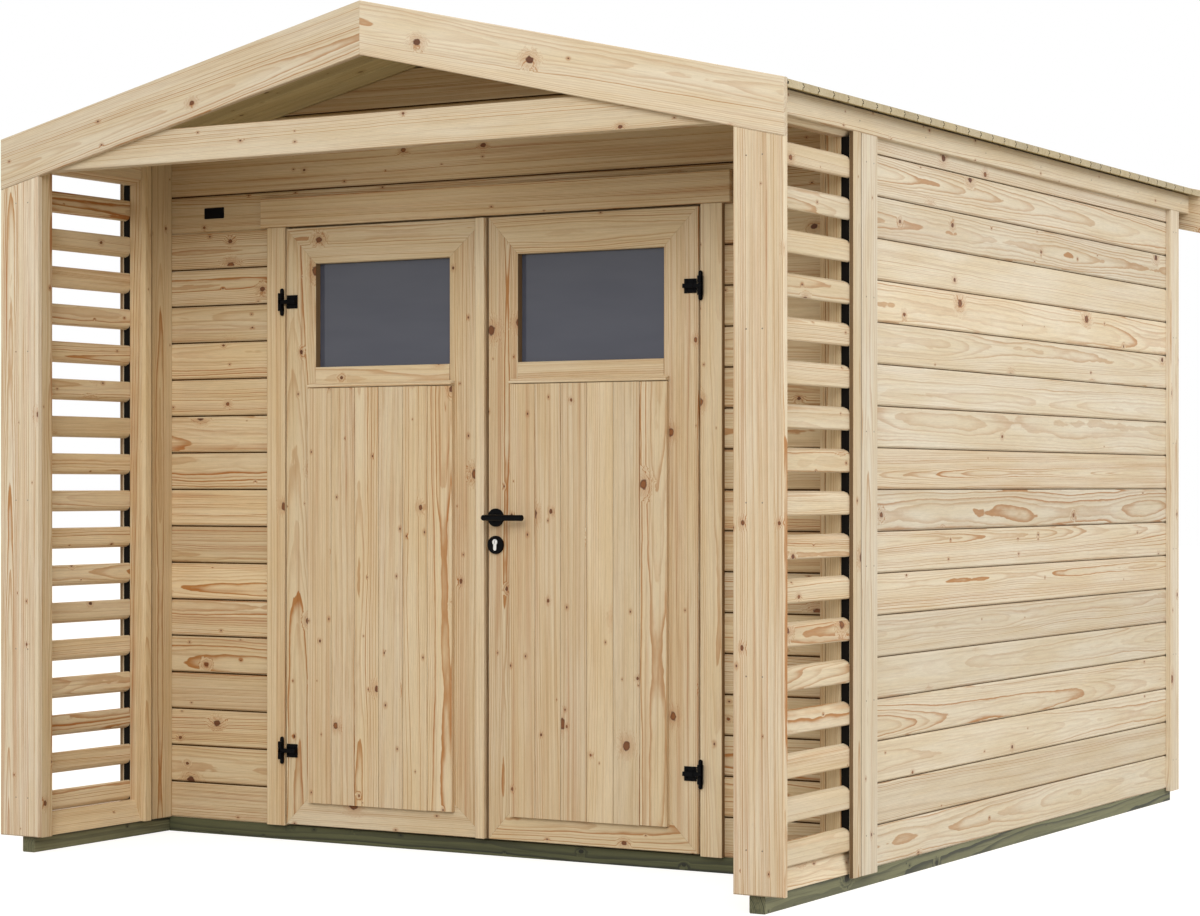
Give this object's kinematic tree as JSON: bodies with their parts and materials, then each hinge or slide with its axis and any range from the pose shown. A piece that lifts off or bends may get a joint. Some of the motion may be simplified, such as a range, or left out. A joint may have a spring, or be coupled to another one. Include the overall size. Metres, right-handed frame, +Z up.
{
  "type": "wooden garden shed",
  "caption": "Boarded timber garden shed with a low gable roof, a slatted front porch and a pair of part-glazed doors that swing outwards, for storing garden tools.",
  "frame": {"origin": "middle of the footprint, on the ground under the bearers", "axes": "+Z up, +Y from the porch to the rear, +X to the right seen from the front"},
  "size_m": [2.546, 3.161, 2.3642],
  "materials": {
    "pine": "planed and unpainted",
    "treated_pine": "rough, green pressure treated",
    "black_iron": "satin black",
    "glass": "clear",
    "steel": "nickel plated"
  },
  "bodies": {
    "shed": {"left_bearer": "treated_pine", "right_bearer": "treated_pine", "front_bearer": "treated_pine", "rear_bearer": "treated_pine", "floor_joists": "treated_pine", "floor_boards": "pine", "left_wall": "pine", "right_wall": "pine", "rear_wall": "pine", "front_wall_left": "pine", "front_wall_right": "pine", "front_gable": "pine", "left_wall_frame": "pine", "right_wall_frame": "pine", "rear_wall_frame": "pine", "front_wall_frame": "pine", "left_front_corner": "pine", "right_front_corner": "pine", "left_rear_corner": "pine", "right_rear_corner": "pine", "left_screen": "pine", "right_screen": "pine", "left_front_board": "pine", "right_front_board": "pine", "tie_beam": "pine", "ridge_beam": "pine", "front_bargeboards": "pine", "rear_bargeboards": "pine", "left_roof_deck": "pine", "right_roof_deck": "pine", "left_eaves_board": "pine", "right_eaves_board": "pine", "door_trim": "pine", "left_hinge_plates": "black_iron", "right_hinge_plates": "black_iron"},
    "left_door": {"left_leaf_frame": "pine", "left_leaf_panel": "pine", "left_glass": "glass", "meeting_strip": "pine", "left_hinge_straps": "black_iron"},
    "right_door": {"right_leaf_frame": "pine", "right_leaf_panel": "pine", "right_glass": "glass", "right_hinge_straps": "black_iron", "lock_plates": "black_iron", "lock_cylinder": "steel"},
    "lever": {"lever_handle": "black_iron"}
  },
  "joints": [
    {"name": "left_door_swing", "type": "hinge", "parent": "shed", "child": "left_door", "pos_m": [-0.711, -0.973, 0.941], "axis": [0, 0, -1], "range_deg": [0, 110]},
    {"name": "right_door_swing", "type": "hinge", "parent": "shed", "child": "right_door", "pos_m": [0.711, -0.973, 0.941], "axis": [0, 0, 1], "range_deg": [0, 110]},
    {"name": "lever_turn", "type": "hinge", "parent": "right_door", "child": "lever", "pos_m": [0.045, -0.9668, 0.971], "axis": [0, 1, 0], "range_deg": [0, 40], "stiffness_Nm_per_rad": 1.5, "springref_deg": -34.38}
  ]
}
